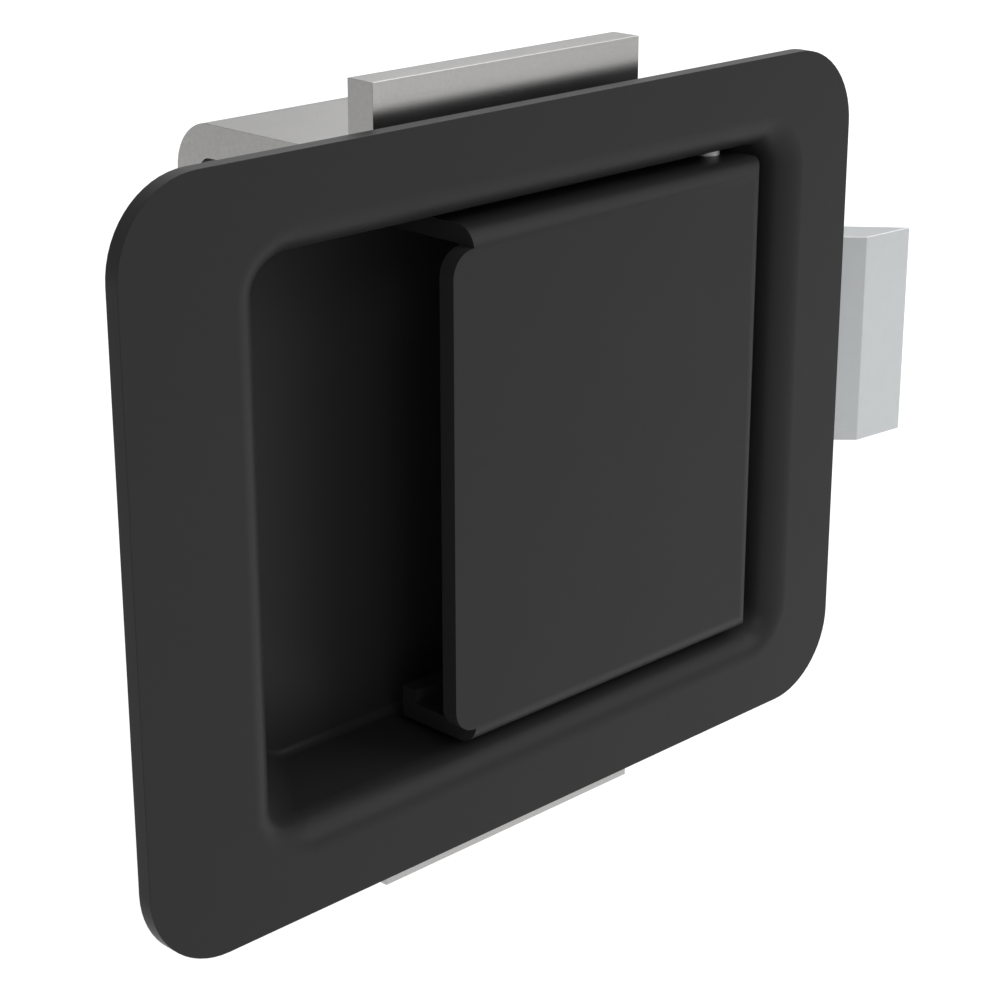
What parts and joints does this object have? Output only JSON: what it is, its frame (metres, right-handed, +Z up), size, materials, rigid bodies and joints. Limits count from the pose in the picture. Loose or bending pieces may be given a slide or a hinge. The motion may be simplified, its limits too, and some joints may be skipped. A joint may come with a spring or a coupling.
{
  "type": "slam latch",
  "caption": "Flush slam latch: a folded paddle in a drawn black tray pulls back a cranked, spring-loaded bolt, and a strap bracket clamps it in a door cut-out.",
  "frame": {"origin": "centre of the flange's back face, the face that seats on the door", "axes": "+X towards the bolt's nose, +Y into the door, +Z up along the paddle's pivot pin"},
  "size_m": [0.1745, 0.0584, 0.1208],
  "materials": {
    "black_powder_coat": "satin black powder coat on steel sheet",
    "zinc_plate": "bright zinc-plated steel",
    "spring_steel": "oiled spring steel"
  },
  "bodies": {
    "tray": {"recess_tray": "black_powder_coat", "pivot_pin": "zinc_plate", "pin_clip": "spring_steel", "bolt_housing": "zinc_plate", "spring_guide": "zinc_plate", "rivet_top_left": "zinc_plate", "rivet_bottom_left": "zinc_plate", "rivet_top_right": "zinc_plate", "rivet_bottom_right": "zinc_plate", "mounting_bracket": "zinc_plate", "weld_stud_top": "zinc_plate", "weld_stud_bottom": "zinc_plate", "washer_top": "zinc_plate", "washer_bottom": "zinc_plate", "nut_top": "zinc_plate", "nut_bottom": "zinc_plate", "bolt_spring": "spring_steel", "paddle_spring": "spring_steel"},
    "paddle": {"paddle": "black_powder_coat", "trip_lever": "zinc_plate"},
    "bolt": {"slam_bolt": "zinc_plate", "bolt_stop_pin": "zinc_plate"}
  },
  "joints": [
    {"name": "paddle_hinge", "type": "hinge", "parent": "tray", "child": "paddle", "pos_m": [0.0472, 0.0057, 0], "axis": [0, 0, 1], "range_deg": [0, 35], "stiffness_Nm_per_rad": 0.3, "springref_deg": -28.65, "deforming": ["paddle_spring"]},
    {"name": "bolt_slide", "type": "slide", "parent": "tray", "child": "bolt", "axis": [-1, 0, 0], "range_m": [0, 0.01277], "stiffness_N_per_m": 1500, "springref_m": -0.008, "deforming": ["bolt_spring"]}
  ],
  "couplings": [
    {"joint": "bolt_slide", "follows": "paddle_hinge", "m_per_rad": 0.02089}
  ]
}
